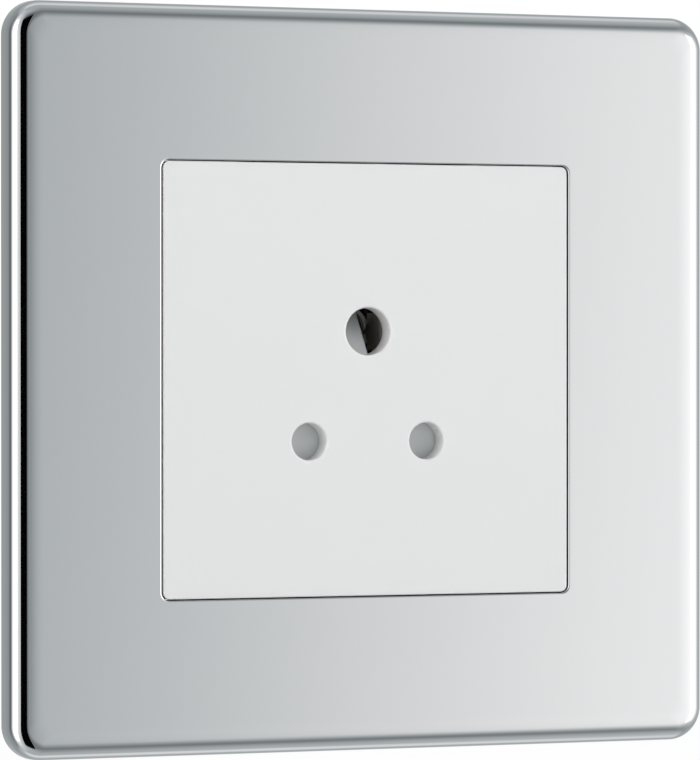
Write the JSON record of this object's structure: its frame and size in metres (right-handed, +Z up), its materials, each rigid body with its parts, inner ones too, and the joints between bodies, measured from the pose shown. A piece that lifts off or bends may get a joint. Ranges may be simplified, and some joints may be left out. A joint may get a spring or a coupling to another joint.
{
  "type": "wall socket",
  "caption": "Flush round pin wall socket: bright pressed plate, white moulded insert with a sprung shutter, split sleeve contacts, terminals and a steel mounting yoke.",
  "frame": {"origin": "centre of the plate on the wall's surface, midway between the two fixing slots", "axes": "+X to the right seen from the front, +Y into the wall, +Z up"},
  "size_m": [0.086, 0.028, 0.086],
  "materials": {
    "bright_plate": "bright polished plating on a sheet pressing",
    "black_moulding": "matt black moulded plastic",
    "zinc_steel": "zinc plated steel stamping",
    "white_moulding": "white moulding with a fine satin surface",
    "shutter_moulding": "white moulding, satin",
    "base_moulding": "white moulding, satin",
    "spring_steel": "drawn spring wire",
    "contact_brass": "rolled brass strip",
    "terminal_brass": "sawn and drilled brass bar",
    "strap_brass": "rolled brass strip",
    "screw_steel": "zinc plated steel",
    "rivet_steel": "zinc plated steel, headed"
  },
  "bodies": {
    "housing": {"front_plate": "bright_plate", "carrier_frame": "black_moulding", "mounting_yoke": "zinc_steel", "insert_cover": "white_moulding", "shutter_spring": "spring_steel", "inner_deck": "black_moulding", "base_moulding": "base_moulding", "earth_contact": "contact_brass", "line_contact": "contact_brass", "neutral_contact": "contact_brass", "earth_terminal": "terminal_brass", "line_terminal": "terminal_brass", "neutral_terminal": "terminal_brass", "earth_terminal_screw": "screw_steel", "line_terminal_screw": "screw_steel", "neutral_terminal_screw": "screw_steel", "earth_strap": "strap_brass", "strap_rivet": "rivet_steel", "cover_screw_top_left": "screw_steel", "cover_screw_top_right": "screw_steel", "cover_screw_bottom_left": "screw_steel", "cover_screw_bottom_right": "screw_steel", "yoke_rivet_top_left": "rivet_steel", "yoke_rivet_top_right": "rivet_steel", "yoke_rivet_bottom_left": "rivet_steel", "yoke_rivet_bottom_right": "rivet_steel"},
    "slider": {"shutter": "shutter_moulding"}
  },
  "joints": [
    {"name": "shutter_slide", "type": "slide", "parent": "housing", "child": "slider", "axis": [0, 0, -1], "range_m": [0, 0.0053], "stiffness_N_per_m": 80, "springref_m": -0.003, "deforming": ["shutter_spring"]}
  ]
}
